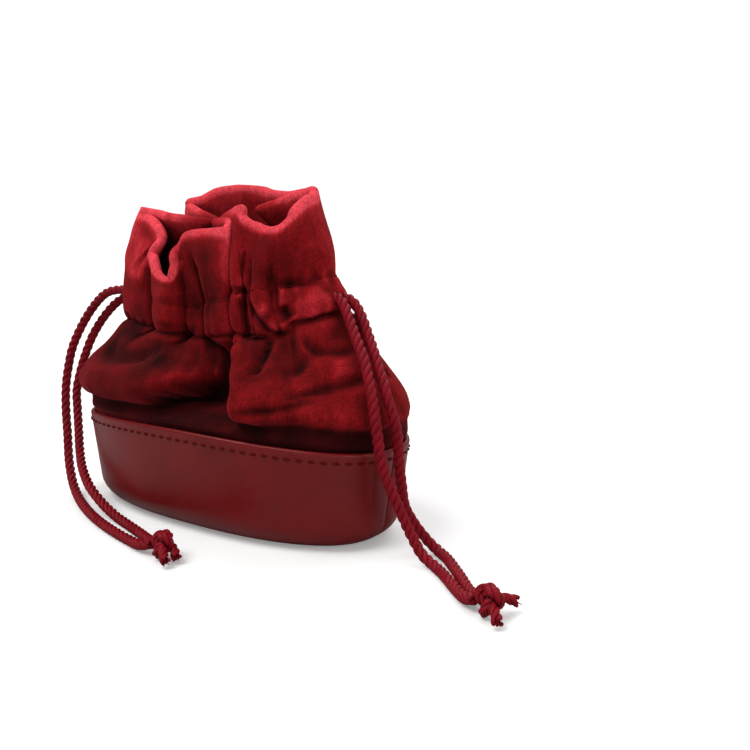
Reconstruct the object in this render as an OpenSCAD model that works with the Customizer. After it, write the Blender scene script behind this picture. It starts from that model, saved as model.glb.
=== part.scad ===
// Drawstring gift pouch: a boat-shaped leather base with a velvet body sewn into its rim,
// a gathered drawstring channel, a ruffled header and two twisted cords.
// Origin at the centre of the sole, +X along the length, -Y to the front, +Z up.

/* [Leather base] */
// Length of the base at its rim
base_len = 120; // [110:1:130]
// Depth of the base at its rim
base_dep = 58; // [54:1:64]
// Height of the leather wall
wall_h = 32; // [28:1:34]
// Squareness of the oval plan, 2 is an ellipse
squareness = 2.4; // [2.1:0.1:2.8]
// How far each end leans in from rim to sole
end_taper = 4; // [2:0.5:6]
// How far the front and back lean in from rim to sole
side_taper = 2.5; // [1:0.5:4]
// Radius where the wall turns under to the sole
foot_r = 8; // [6:0.5:9]
// How far the rim dips at its two ends
rim_dip = 3; // [0:0.5:4]
// Leather thickness
leather_t = 1.6; // [1.2:0.1:1.8]
// Spacing of the rim stitches
stitch_pitch = 3.4; // [3:0.1:4.5]

/* [Velvet] */
// Thickness of the velvet cloth
velvet_t = 1.4; // [1:0.1:1.6]
// Length of the gathered neck
neck_len = 91; // [84:1:96]
// Depth of the gathered neck
neck_dep = 28; // [26:1:32]
// Height of the drawstring channel's lower stitch line
channel_low = 60; // [59:0.5:62]
// Height of the drawstring channel's upper stitch line
channel_high = 73; // [72:0.5:75]
// Height of the front of the header
front_top = 93; // [88:1:98]
// Height of the back of the header
back_top = 102; // [96:1:106]
// Height of one gather above the channel
gather = 0.9; // [0.3:0.1:1.2]

/* [Cords] */
// Thickness of the twisted cord
cord_d = 2.8; // [2.2:0.1:3]
// Size of each overhand knot
knot_d = 8; // [7:0.5:10]

/* [Hidden] */

leather_red = [0.33, 0.06, 0.08];
velvet_red = [0.52, 0.05, 0.08];
cord_red = [0.42, 0.03, 0.09];
thread_red = [0.25, 0.03, 0.05];
lining_red = [0.30, 0.05, 0.07];
board_grey = [0.45, 0.42, 0.40];

half_len = base_len / 2;
half_dep = base_dep / 2;
// Turn angles where the front half and the back half of a ring start and end
front_arc = [180.4, 359.6];
back_arc = [0.4, 179.6];
arc_steps = 36;
foot_steps = 5;

// Heights of the velvet body: tucked in behind the rim, over the rim, then up to the channel
rim_lean = 6 / wall_h;
tuck = leather_t + 0.3;
tuck_low = wall_h - 6;
tuck_high = wall_h + 0.4;
body_top = channel_low - 1.8;
body_rows = [tuck_low, tuck_high, wall_h + 3, wall_h + 6, wall_h + 9, wall_h + 14, wall_h + 19, wall_h + 22.5,
    body_top];
// Half length, half depth and sideways shift of the velvet body at each height
body_half_len = [[tuck_low, half_len - tuck - end_taper * rim_lean], [tuck_high, half_len - tuck],
    [wall_h + 3, half_len + 0.5], [wall_h + 9, half_len + 2.2], [wall_h + 14, half_len + 1],
    [wall_h + 19, half_len - 2.5], [wall_h + 22.5, half_len - 6.5], [body_top, half_len - 12.5]];
body_half_dep = [[tuck_low, half_dep - tuck - side_taper * rim_lean], [tuck_high, half_dep - tuck],
    [wall_h + 3, half_dep + 0.3], [wall_h + 9, half_dep + 1.5], [wall_h + 14, half_dep + 0.5],
    [wall_h + 19, half_dep - 3], [wall_h + 22.5, half_dep - 7.5], [body_top, half_dep - 12.5]];
body_shift = [[tuck_low, 0], [wall_h + 3, -0.5], [wall_h + 9, -2], [body_top, -2]];

// The same for the neck and header
header_mid = 86;
neck_shift = [[channel_low, -4], [channel_high, -4.5], [header_mid, -7.5], [back_top, -6]];
neck_half_len = [[channel_low, neck_len / 2], [channel_high, neck_len / 2 - 1], [header_mid, neck_len / 2 - 4],
    [back_top, neck_len / 2 - 9]];
neck_half_dep = [[channel_low, neck_dep / 2], [channel_high, neck_dep / 2], [back_top, neck_dep / 2 + 2]];
neck_tilt = 0.02;
// How far the channel's cavity reaches in from its outer face, and the facing behind it
cavity_depth = 5.8;
facing_t = 1;
cord_depth = 3.6;
left_run_z = 64.2;
right_run_z = 68.8;
// Clear half width between the front and back halves, for the cords and for drawing tighter
exit_half_gap = 6.6;
header_half_gap = 3;
header_depth = velvet_t + 0.4;
gather_steps = 48;
run_steps = 10;
board_t = 1.4;
lining_t = 0.8;
lining_top = 29;

// Routes of the free strands from the channel to the knot
left_outer_route = [[-44, -1.8, 67.5], [-48, -1.8, 68.5], [-53, -2, 69], [-59, -3, 67.5], [-65, -4, 62.5],
    [-70, -5.5, 55.5], [-73, -7.5, 48], [-74, -9, 41], [-74, -10.5, 34], [-72, -12.5, 26.5], [-68.5, -15, 18],
    [-63, -19, 10], [-56, -23, 4.5], [-47, -27.5, 2.2], [-36, -33, 2.2], [-25, -37.5, 2.2], [-14, -41, 2.2],
    [-4, -43.5, 2.2], [3, -45.5, 3], [8, -45.5, 4]];
left_inner_route = [[-44, 1.8, 66.5], [-48, 1.8, 67], [-53, 1.5, 66.5], [-58, 0.5, 64], [-63, -1, 59],
    [-67, -3, 52.5], [-69, -5, 46], [-70, -7, 39.5], [-70, -9, 33], [-67.5, -11, 26.5], [-63.5, -14, 20.5],
    [-57.5, -18.5, 15], [-50, -23.5, 11], [-41, -28, 7.5], [-32, -30.5, 4.5], [-23, -32.5, 2.5],
    [-14, -35, 2.2], [-5, -38, 2.2], [3, -41.5, 3], [8, -43, 4]];
right_outer_route = [[36, -1.8, 70.5], [40, -2, 71], [43.5, -3, 69.5], [47, -4.8, 65.5], [51, -7, 60.5],
    [55, -9.2, 55.5], [58.5, -11.5, 50], [60.8, -13, 44.5], [62.2, -13.5, 38.5], [63, -13.2, 32], [64, -12.5, 26],
    [65.8, -11.2, 20], [68, -9.8, 14], [70.5, -8.6, 8], [74, -8.6, 3.5], [78.5, -10, 2.2], [83, -13.2, 2.2],
    [88, -17.5, 2.2], [92.5, -21.5, 2.2], [96.5, -25, 2.6], [100, -27, 4]];
right_inner_route = [[36, 1.8, 70.2], [40, 1.8, 70.8], [44, 1.5, 69.5], [47.5, 0.4, 66], [51, -1.5, 61.5],
    [55, -4, 56.5], [58.8, -6.4, 51], [61.8, -7.8, 45.5], [64, -7.6, 39.5], [64.8, -6.8, 33], [64.8, -6, 26.5],
    [65, -5, 20], [65.4, -4, 14], [67, -1.5, 8.5], [70, 0.5, 4], [74, 0, 2.2], [79, -3.6, 2.2],
    [84, -8.4, 2.2], [89, -13.4, 2.2], [94, -18.8, 2.2], [98, -22.6, 3], [101, -24.5, 4]];
left_knot_place = [12, -45, 4.5];
right_knot_place = [104, -27, 4.5];
left_tail_tips = [[20.5, -51, 2.4], [20, -46.5, 2.6]];
right_tail_tips = [[109.5, -20.5, 3], [110, -33, 2.4]];

function signed_power(v, e) = sign(v) * pow(abs(v), e);
function oval(a, b, t) = [a * signed_power(cos(t), 2 / squareness), b * signed_power(sin(t), 2 / squareness)];

// Point on the leather wall: turn angle t, distance out from the outer face, height z before the dip
function base_point(t, out, z) =
    let(lean = 1 - z / wall_h,
        p = oval(half_len - end_taper * lean + out, half_dep - side_taper * lean + out, t))
    [p[0], p[1], z - rim_dip * pow(p[0] / half_len, 2) * max(0, z) / wall_h];

function body_point(t, out, z) =
    let(p = oval(lookup(z, body_half_len) + out, lookup(z, body_half_dep) + out, t),
        fade = min(z / wall_h, max(0, 1 - (z - wall_h) / 20)))
    [p[0] + lookup(z, body_shift), p[1], z - rim_dip * pow(p[0] / half_len, 2) * fade];

function neck_point(t, out, z) =
    let(lift = max(0, min(1, (z - channel_high) / 20)),
        wave = gather * (0.35 + lift) * cos(22 * t),
        p = oval(lookup(z, neck_half_len) + out + wave, lookup(z, neck_half_dep) + out + wave, t),
        x = p[0] + lookup(z, neck_shift))
    [x, p[1], z + neck_tilt * x];

// Turn angle at which a neck ring of half depth b is a given distance from the middle plane
function angle_at(y, b) = asin(pow(y / b, squareness / 2));
exit_turn = angle_at(exit_half_gap, neck_dep / 2);
run_turn = exit_turn + 1;
header_turn = angle_at(header_half_gap, neck_dep / 2);

function steps(from, to, count) = [for (i = [0:count]) from + (to - from) * i / count];
function quad(a, b, c, d) = [[a, b, c], [a, c, d]];
function flat_list(rows) = [for (row = rows) each row];

// A closed sheet between two grids of points, outer and inner, whose rows run around the part
module sheet(outer, inner, closed = false) {
    n = len(outer);
    m = len(outer[0]);
    k = n * m;
    last = closed ? n - 1 : n - 2;
    around = [for (i = [0:last]) let(p = i * m, q = ((i + 1) % n) * m) each concat(
        flat_list([for (j = [0:m - 2]) quad(p + j, p + j + 1, q + j + 1, q + j)]),
        flat_list([for (j = [0:m - 2]) quad(k + p + j, k + q + j, k + q + j + 1, k + p + j + 1)]),
        quad(p, q, k + q, k + p),
        quad(p + m - 1, k + p + m - 1, k + q + m - 1, q + m - 1))];
    e = (n - 1) * m;
    ends = closed ? [] : flat_list([for (j = [0:m - 2]) concat(
        quad(j, k + j, k + j + 1, j + 1),
        quad(e + j, e + j + 1, k + e + j + 1, k + e + j))]);
    polyhedron(concat(flat_list(outer), flat_list(inner)), concat(around, ends), convexity = 6);
}

// Band between an outer and an inner profile of [out, z] pairs, from turn angle to turn angle
module band(point, arc, outer, inner, count = arc_steps, closed = false) {
    turns = steps(arc[0], arc[1], count);
    used = closed ? [for (i = [0:count - 1]) turns[i]] : turns;
    sheet([for (t = used) [for (p = outer) point(t, p[0], p[1])]],
        [for (t = used) [for (p = inner) point(t, p[0], p[1])]], closed);
}

// Turn angles at equal distances along a ring
function even_turns(point, arc, out, z, pitch) =
    let(turns = steps(arc[0], arc[1], 240),
        pts = [for (t = turns) point(t, out, z)],
        gone = [for (i = 0, s = 0; i <= 240; s = s + (i < 240 ? norm(pts[i + 1] - pts[i]) : 0), i = i + 1) s],
        count = floor(gone[240] / pitch),
        table = [for (i = [0:240]) [gone[i], turns[i]]])
    [for (k = [0:count - 1]) lookup((k + 0.5) * gone[240] / count, table)];

// Row of short stitches, each half sunk into the cloth or leather
module stitch_row(point, arc, out, z, pitch, size) {
    for (t = even_turns(point, arc, out, z, pitch)) {
        here = point(t, out, z);
        ahead = point(t + 0.5, out, z) - here;
        translate(here)
            rotate([0, 0, atan2(ahead[1], ahead[0])])
                cube(size, center = true);
    }
}

function unit(v) = v / norm(v);

// Round cord swept along its route, square across to the reference direction
module cord(route, d, reference) {
    sides = 8;
    n = len(route);
    rings = [for (i = [0:n - 1]) let(
            along = unit(route[min(i + 1, n - 1)] - route[max(i - 1, 0)]),
            u = unit(cross(along, reference)),
            v = cross(along, u))
        [for (s = [0:sides - 1]) route[i] + d / 2 * (u * cos(s * 360 / sides) + v * sin(s * 360 / sides))]];
    skin = [for (i = [0:n - 2], s = [0:sides - 1]) let(a = i * sides, b = a + sides, r = (s + 1) % sides)
        each quad(a + s, b + s, b + r, a + r)];
    caps = [[for (s = [0:sides - 1]) s], [for (s = [sides - 1:-1:0]) (n - 1) * sides + s]];
    polyhedron(flat_list(rings), concat(skin, caps), convexity = 4);
}

// Outline of a flat plate under or inside the base
module base_plate(z, inset, thickness) {
    translate([0, 0, z])
        linear_extrude(thickness)
            polygon([for (t = [0:5:355]) let(p = base_point(t, -inset, 0)) [p[0], p[1]]]);
}

// Profile of the leather wall at an even depth in from its outer face
function wall_profile(depth) = concat(
    [for (i = [0:foot_steps]) let(a = 90 * i / foot_steps)
        [(foot_r - depth) * sin(a) - foot_r, foot_r - (foot_r - depth) * cos(a)]],
    [[-depth, wall_h * 0.6], [-depth, wall_h]]);

module leather_band(arc) {
    color(leather_red)
        band(function(t, out, z) base_point(t, out, z), arc, wall_profile(0), wall_profile(leather_t));
}

module leather_band_front() {
    leather_band(front_arc);
}

module leather_band_back() {
    leather_band(back_arc);
}

module leather_sole() {
    color(leather_red) base_plate(0, foot_r + 0.1, leather_t);
}

module base_board() {
    color(board_grey) base_plate(leather_t + 0.1, foot_r - 0.8, board_t);
}

module lining_floor() {
    color(lining_red) base_plate(leather_t + board_t + 0.2, foot_r - 3.2, lining_t);
}

module lining_wall() {
    low = leather_t + board_t + lining_t + 0.4;
    outer = leather_t + velvet_t + 0.6;
    inner = outer + lining_t;
    color(lining_red)
        band(function(t, out, z) base_point(t, out, z), [0, 360],
            [[-outer, low], [-outer, wall_h / 2], [-outer, lining_top]],
            [[-inner, low], [-inner, wall_h / 2], [-inner, lining_top]], 2 * arc_steps, true);
}

module rim_topstitch(arc) {
    color(thread_red)
        stitch_row(function(t, out, z) base_point(t, out, z), arc, 0, wall_h - 3, stitch_pitch,
            [stitch_pitch * 0.68, 0.7, 0.6]);
}

module rim_topstitch_front() {
    rim_topstitch(front_arc);
}

module rim_topstitch_back() {
    rim_topstitch(back_arc);
}

// Threads that hold two panels together edge to edge, inside the end at turn angle t
module seam_thread(point, t, depth, low, high) {
    count = floor((high - low) / stitch_pitch);
    color(thread_red)
        for (i = [0:count])
            translate(point(t, -depth, low + i * stitch_pitch))
                cube([0.6, 3, 0.6], center = true);
}

module end_seam_thread_left() {
    seam_thread(function(t, out, z) base_point(t, out, z), 180, leather_t, foot_r, 25);
}

module end_seam_thread_right() {
    seam_thread(function(t, out, z) base_point(t, out, z), 0, leather_t, foot_r, 25);
}

module velvet_panel(arc) {
    color(velvet_red)
        band(function(t, out, z) body_point(t, out, z), arc,
            [for (z = body_rows) [0, z]], [for (z = body_rows) [-velvet_t, z]]);
}

module velvet_panel_front() {
    velvet_panel(front_arc);
}

module velvet_panel_back() {
    velvet_panel(back_arc);
}

module side_seam_thread_left() {
    seam_thread(function(t, out, z) body_point(t, out, z), 180, velvet_t, 36, 54);
}

module side_seam_thread_right() {
    seam_thread(function(t, out, z) body_point(t, out, z), 0, velvet_t, 36, 54);
}

// Turn angles of a front or back half of the neck that stops short of the middle plane
function front_half(stop) = [180 + stop, 360 - stop];
function back_half(stop) = [stop, 180 - stop];

// Outer skin of the drawstring channel, turned in at its two stitch lines
module channel(arc) {
    outer = [[-cavity_depth, channel_low], [0, channel_low], [0, channel_high], [-cavity_depth, channel_high]];
    inner = [[-cavity_depth, channel_low + velvet_t], [-velvet_t, channel_low + velvet_t],
        [-velvet_t, channel_high - velvet_t], [-cavity_depth, channel_high - velvet_t]];
    color(velvet_red) band(function(t, out, z) neck_point(t, out, z), arc, outer, inner, gather_steps);
}

module channel_front() {
    channel(front_half(exit_turn));
}

module channel_back() {
    channel(back_half(exit_turn));
}

// Inner ply that closes the channel and lines the header
module facing(arc, top) {
    deep = cavity_depth + 0.2;
    outer = [[-deep, channel_low], [-deep, channel_high], [-header_depth, channel_high + 4],
        [-header_depth, header_mid], [-header_depth, top]];
    inner = [for (p = outer) [p[0] - facing_t, p[1]]];
    color(velvet_red) band(function(t, out, z) neck_point(t, out, z), arc, outer, inner, gather_steps);
}

module facing_front() {
    facing(front_half(exit_turn), front_top - 1);
}

module facing_back() {
    facing(back_half(exit_turn), back_top - 1);
}

module header(arc, top) {
    rows = [channel_high + 0.1, channel_high + 4, header_mid, top];
    color(velvet_red)
        band(function(t, out, z) neck_point(t, out, z), arc,
            [for (z = rows) [0, z]], [for (z = rows) [-velvet_t, z]], gather_steps);
}

module header_front() {
    header(front_half(header_turn), front_top);
}

module header_back() {
    header(back_half(header_turn), back_top);
}

module channel_stitches(arc, z) {
    color(thread_red)
        stitch_row(function(t, out, z) neck_point(t, out, z), arc, 0, z, stitch_pitch,
            [stitch_pitch * 0.62, 0.6, 0.6]);
}

module channel_lower_stitches_front() {
    channel_stitches(front_half(exit_turn), channel_low + 0.7);
}

module channel_lower_stitches_back() {
    channel_stitches(back_half(exit_turn), channel_low + 0.7);
}

module channel_upper_stitches_front() {
    channel_stitches(front_half(exit_turn), channel_high - 0.7);
}

module channel_upper_stitches_back() {
    channel_stitches(back_half(exit_turn), channel_high - 0.7);
}

// The stretch of a cord that lies inside the channel
module cord_run(arc, z) {
    route = [for (t = steps(arc[0], arc[1], run_steps)) neck_point(t, -cord_depth, z)];
    color(cord_red) cord(route, cord_d, [0, 0, 1]);
}

module left_cord_run_front() {
    cord_run(front_half(run_turn), left_run_z);
}

module left_cord_run_back() {
    cord_run(back_half(run_turn), left_run_z);
}

module right_cord_run_front() {
    cord_run(front_half(run_turn), right_run_z);
}

module right_cord_run_back() {
    cord_run(back_half(run_turn), right_run_z);
}

module left_cord_outer_strand() {
    color(cord_red) cord(left_outer_route, cord_d, [0, 1, 0]);
}

module left_cord_inner_strand() {
    color(cord_red) cord(left_inner_route, cord_d, [0, 1, 0]);
}

module right_cord_outer_strand() {
    color(cord_red) cord(right_outer_route, cord_d, [0, 1, 0]);
}

module right_cord_inner_strand() {
    color(cord_red) cord(right_inner_route, cord_d, [0, 1, 0]);
}

// Overhand knot as a squat round bead with a waist for each wrap
module knot(place, heading) {
    color(cord_red)
        translate(place)
            rotate([0, 90, heading])
                rotate_extrude($fn = 24)
                    polygon([[0, -0.5], [0.34, -0.46], [0.5, -0.24], [0.44, 0], [0.5, 0.24], [0.34, 0.46],
                        [0, 0.5]] * knot_d);
}

module left_cord_knot() {
    knot(left_knot_place, -20);
}

module right_cord_knot() {
    knot(right_knot_place, -30);
}

// Two short cut ends beyond a knot
module tails(place, tips) {
    color(cord_red)
        for (tip = tips)
            cord([place + (tip - place) * 0.3, place + (tip - place) * 0.65, tip], cord_d, [0, 0, 1]);
}

module left_cord_tails() {
    tails(left_knot_place, left_tail_tips);
}

module right_cord_tails() {
    tails(right_knot_place, right_tail_tips);
}

leather_band_front();
leather_band_back();
leather_sole();
base_board();
lining_floor();
lining_wall();
rim_topstitch_front();
rim_topstitch_back();
end_seam_thread_left();
end_seam_thread_right();
velvet_panel_front();
velvet_panel_back();
side_seam_thread_left();
side_seam_thread_right();
channel_front();
channel_back();
facing_front();
facing_back();
header_front();
header_back();
channel_lower_stitches_front();
channel_lower_stitches_back();
channel_upper_stitches_front();
channel_upper_stitches_back();
left_cord_run_front();
left_cord_run_back();
right_cord_run_front();
right_cord_run_back();
left_cord_outer_strand();
left_cord_inner_strand();
left_cord_knot();
left_cord_tails();
right_cord_outer_strand();
right_cord_inner_strand();
right_cord_knot();
right_cord_tails();
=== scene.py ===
import math

import bmesh
import bpy
import numpy as np
from mathutils import Matrix, Vector, noise


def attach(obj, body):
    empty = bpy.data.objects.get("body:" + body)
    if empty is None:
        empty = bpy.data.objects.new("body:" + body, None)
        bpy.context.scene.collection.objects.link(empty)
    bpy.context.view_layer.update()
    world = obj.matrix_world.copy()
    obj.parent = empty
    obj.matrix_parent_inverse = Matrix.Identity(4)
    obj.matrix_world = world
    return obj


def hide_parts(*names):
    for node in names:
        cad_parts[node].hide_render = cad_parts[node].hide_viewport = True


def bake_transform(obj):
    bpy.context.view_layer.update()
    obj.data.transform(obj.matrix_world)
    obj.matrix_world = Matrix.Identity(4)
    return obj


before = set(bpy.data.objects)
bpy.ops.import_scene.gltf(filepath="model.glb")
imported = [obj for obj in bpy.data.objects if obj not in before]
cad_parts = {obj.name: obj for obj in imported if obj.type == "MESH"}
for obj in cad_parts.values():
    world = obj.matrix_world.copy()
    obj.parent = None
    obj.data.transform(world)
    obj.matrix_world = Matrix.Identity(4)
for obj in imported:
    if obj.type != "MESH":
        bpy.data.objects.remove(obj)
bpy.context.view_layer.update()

MM = 0.001

# Lengths are in millimetres unless a comment says metres. Turn angles are in degrees, from +X towards +Y.
# Camera
CAMERA_AT, CAMERA_AIM = (195.7, -207.5, 93.5), (-0.5593, 0.8108, -0.1725)
LENS, SENSOR = 43.2, 36.0
# Lights: the way to each, its strength and how wide it is, in degrees
LIGHTS = {
    "back": ((-0.2, 0.7, 1.0), 1.3, 60), "top": ((-0.4, -0.5, 1.0), 1.9, 40),
    "front": ((0.55, -0.85, 0.2), 0.35, 70), "side": ((1.0, -0.1, 0.35), 0.95, 60)}
# Leather base, as part.scad has it
BASE_LEN, BASE_DEP, WALL_H = 120.0, 58.0, 32.0
SQUARENESS = 2.4
END_TAPER, SIDE_TAPER, FOOT_R, RIM_DIP = 4.0, 2.5, 8.0, 3.0
LEATHER_T = 1.6
RIM_SEAM_DOWN = 3
# Stitches: their pitch, then the length, width and height of one
STITCH_PITCH = 3.4
RIM_STITCH = (STITCH_PITCH * 0.66, 0.62, 0.34)
CLOTH_PITCH = STITCH_PITCH * 0.9
CLOTH_STITCH = (STITCH_PITCH * 0.5, 0.4, 0.24)
# Velvet
BODY_LEN, BODY_DEP, STRIP_TOP = 122.5, 60.0, 34.4
CLOTH_T, HEADER_T = 1.5, 3.2
# How far in from the evened-out outline of the gathers the cords and the facing behind them run, and over how
# many columns it is evened out
RUN_DEPTH, FACING_DEPTH = 4.6, 7.2
CHANNEL_EVEN = 26
# Share of the channel's height at which each cord runs
RUN_SHARE = {"left": 0.33, "right": 0.64}
# How far a half's cloth would follow its neck body, in metres, which make_cloth works out but does not use:
# |y| / BLEND_Y on the neck, and on the body |y| / BLEND_Y + (z - BLEND_FLOOR) / BLEND_Z - BLEND_HELD
BLEND_Y, BLEND_Z, BLEND_FLOOR, BLEND_HELD = 0.015, 0.0167, 0.030, 1.8
# Cords: radius of a strand, how far it winds off the middle, and the length of a turn
CORD_D, KNOT_D = 2.8, 8.0
STRAND_R, STRAND_OFF, LAY = 0.84, 0.76, 7.5
KNOT_STRAND_R, KNOT_STRAND_OFF, KNOT_LAY = 0.74, 0.62, 7.0
KNOT_LEAN = 68
# Fibres of each frayed end, and how high above the surface the lowest cord and fibre points stay
FRAYS, CORD_FLOOR, FRAY_FLOOR = 26, 0.02, 0.15

# Routes of the free strands from the channel to the knot
LEFT_OUTER = [(-44, -1.8, 67.5), (-48, -1.8, 68.5), (-53, -2, 69), (-59, -3, 67.5), (-65, -4, 62.5),
    (-70, -5.5, 55.5), (-73, -7.5, 48), (-74, -9, 41), (-74, -10.5, 34), (-72, -12.5, 26.5), (-68.5, -15, 18),
    (-63, -19, 10), (-56, -23, 4.2), (-47, -27.5, 1.6), (-36, -33, 1.5), (-25, -37.5, 1.5), (-14, -41, 1.5),
    (-4, -43.5, 1.5), (3, -45.5, 2.2), (8, -45.5, 3.6)]
LEFT_INNER = [(-44, 1.8, 66.5), (-48, 1.8, 67), (-53, 1.5, 66.5), (-58, 0.5, 64), (-63, -1, 59),
    (-67, -3, 52.5), (-69, -5, 46), (-70, -7, 39.5), (-70, -9, 33), (-67.5, -11, 26.5), (-63.5, -14, 20.5),
    (-57.5, -18.5, 15), (-50, -23.5, 11), (-41, -28, 7.5), (-32, -30.5, 4.2), (-23, -32.5, 2),
    (-14, -35, 1.5), (-5, -38, 1.5), (3, -41.5, 2.2), (8, -43, 3.6)]
RIGHT_OUTER = [(36, -1.8, 70.5), (40, -2, 71), (43.5, -3, 69.5), (47, -4.8, 65.5), (51, -7, 60.5),
    (55, -9.2, 55.5), (58.5, -11.5, 50), (60.8, -13, 44.5), (62.2, -13.5, 38.5), (63, -13.2, 32),
    (64, -12.5, 26), (65.8, -11.2, 20), (68, -9.8, 14), (70.5, -8.6, 8), (74, -8.6, 3.2), (78.5, -10, 1.6),
    (83, -13.2, 1.5), (88, -17.5, 1.5), (92.5, -21.5, 1.6), (96.5, -25, 2.2), (100, -27, 3.6)]
RIGHT_INNER = [(36, 1.8, 70.2), (40, 1.8, 70.8), (44, 1.5, 69.5), (47.5, 0.4, 66), (51, -1.5, 61.5),
    (55, -4, 56.5), (58.8, -6.4, 51), (61.8, -7.8, 45.5), (64, -7.6, 39.5), (64.8, -6.8, 33),
    (64.8, -6, 26.5), (65, -5, 20), (65.4, -4, 14), (67, -1.5, 8.5), (70, 0.5, 3.8), (74, 0, 1.6),
    (79, -3.6, 1.5), (84, -8.4, 1.5), (89, -13.4, 1.5), (94, -18.8, 1.6), (98, -22.6, 2.4), (101, -24.5, 3.6)]
LEFT_KNOT, RIGHT_KNOT = (12, -45, 4.5), (104, -27, 4.5)

# Columns of the velvet between two folds, and the fold at the left end; the first fold is at the right end
STEP, LEFT_END = 14, 16
# Rows of the neck on which its stitches lie, and how many rows the channel takes up
SEAM_ROWS = {"lower": 2, "upper": 22}
CHANNEL_ROWS = 27
# Folds of the velvet from the right end round the back, the left end and the front: turn angle on the body,
# bulge there, place on the channel, heights of its two stitch lines, place of the rim, swell of the header
FOLDS = [
    (0, 0.5, (43, 0), (66.5, 77), (33.5, -1, 99.3), 0),
    (12, 0.5, (41, 4.5), (66, 77), (30, 2.8, 101.2), 0),
    (20, -0.5, (37, 5.2), (65, 76), (10, 0, 95.5), 0),
    (30, 1, (35, 8.5), (65, 76), (25, 6, 100.6), 0),
    (45, 1, (28, 11.5), (64, 75), (14, 11, 100.3), 0.5),
    (58, 0, (22, 9.5), (63, 75), (7, 12.5, 100.8), 0.5),
    (70, -1, (15, 14), (62, 74), (0, 15, 102), 0.5),
    (80, -5, (8.5, 11), (61, 74), (-7, 14.5, 102.6), 0.5),
    (90, -8, (0, 15), (60, 73), (-14, 16, 102.6), 0.5),
    (100, -4, (-8, 11.5), (60, 73), (-20, 14.5, 101.8), 0.5),
    (112, 0.5, (-15, 14.8), (60, 73), (-26, 13, 99.5), 0.5),
    (124, 1, (-22, 11), (60, 73), (-31, 9.5, 97.8), 0.5),
    (137, 1, (-28, 12.5), (60, 73), (-22, 4.8, 95), 0),
    (148, 0, (-31, 8), (60, 73), (-10, 0, 92.3), 0),
    (158, 1, (-37, 9.5), (60, 72.5), (-26, 1, 94), 1),
    (169, 1, (-43, 6.5), (60, 72), (-37, 2, 95.6), 2),
    (180, 1, (-47.4, 0), (60, 72), (-42.6, -0.5, 96), 2.2),
    (192, 0.6, (-45.6, -5), (60, 71), (-34, -3, 92.5), 2),
    (205, 0.3, (-41, -8.5), (59.5, 70), (-27.5, -6, 88), 2),
    (222, 0.3, (-33, -10.5), (59, 69), (-28.5, -10, 83), 1),
    (232, 0.5, (-26.5, -10.5), (58.8, 68.5), (-26, -12, 80.5), 0),
    (238, 1, (-24.5, -7.5), (58.8, 68), (-23.5, -13.5, 78.5), 0),
    (243, 1, (-23, -13.5), (58.6, 67.5), (-20.5, -15.5, 76.5), 0),
    (252, 0.5, (-16, -16.8), (58.4, 67), (-14, -18, 74.8), 0),
    (261, -0.2, (-9.2, -15.8), (57.8, 66.5), (-7.5, -19.8, 75.2), 0),
    (266, -0.8, (-8.5, -10), (57.5, 66.6), (-8, -16.5, 79.5), 0),
    (270, -2.5, (-6.4, -14), (57.5, 66.7), (-9.2, -15.2, 84), 0),
    (273, -7, (-1.2, -14.2), (57.5, 67), (-8.2, -14.5, 87.3), 0),
    (275.5, -14, (-0.8, -9.5), (57.7, 67.5), (-5, -14.6, 88.3), 0),
    (278, -19.5, (1.4, -14.8), (58, 68.5), (0, -15.2, 88.9), 0),
    (281, -21, (10.5, -15.6), (59, 70), (11.4, -16, 89.8), 0),
    (284, -21, (11.8, -9.5), (59.5, 71.5), (9, -9, 92.2), 0),
    (287.5, -19, (12.2, -6), (59.7, 72), (-4, -3.5, 92.3), 0),
    (289, -1.5, (13.2, -15.4), (59.8, 72.5), (14, -14, 96), 0),
    (291, 0, (16.4, -15.8), (59.7, 72.5), (16.2, -14.6, 93.4), 0.3),
    (293, 0, (17.6, -14), (59.5, 72.5), (17.6, -14.4, 92.3), 0.2),
    (295, 0, (19.4, -15), (59.2, 72.6), (19, -14, 91.4), 0.2),
    (297, 0.4, (21, -13.9), (59.1, 72.8), (20.8, -14, 90.9), 0.2),
    (301, 0.8, (23.4, -14.8), (59.2, 73.2), (23.4, -14.3, 90.2), 0.3),
    (306, 1, (27.4, -14), (59.6, 73.8), (27, -14.6, 89.9), 0.3),
    (309.5, 0.3, (28.6, -12.2), (60.3, 74.2), (29.5, -14.2, 90.3), 0.2),
    (314, 1, (30.4, -12.8), (61.2, 74.8), (31.5, -13.4, 91.6), 0.2),
    (325, 1, (35.8, -11), (63.5, 75.6), (34, -11.5, 95), 0),
    (340, 1, (40.6, -7), (65.5, 76.5), (34.5, -6, 98.3), 0)]
# Shape of the body's side from the leather's rim up to the channel: share of the height, then for each kind
# of side its share of the base's outline and its distance out, and last the share of a fold's bulge there.
# The roll runs round the left to ROLL_END.
ROLL_END = 279
SIDE_UP = (0.11, 0.19, 0.36, 0.55, 0.72, 0.86, 0.95)
SIDES = {
    "roll": ((1.0, 1.0, 1.0, 0.90, 0.66, 0.38, 0.15), (-2.6, 1.6, 4.0, 3.2, 0.6, -0.4, -0.2)),
    "bulge": ((1.0, 1.0, 1.0, 0.93, 0.76, 0.50, 0.20), (-2.4, 1.6, 3.8, 3.2, 1.8, 0.8, 0.1)),
    "tent": ((1.0, 0.98, 0.87, 0.70, 0.47, 0.25, 0.09), (-0.6, 0.8, 1.0, 0.8, 0.6, 0.3, 0.0)),
    "end": ((1.0, 1.0, 0.99, 0.86, 0.60, 0.33, 0.12), (-0.8, 1.3, 2.0, 1.4, 0.6, 0.2, 0.0))}
FOLD_SHARE = (0.25, 0.8, 1.0, 0.95, 0.7, 0.4, 0.14)


# ---- camera

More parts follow.
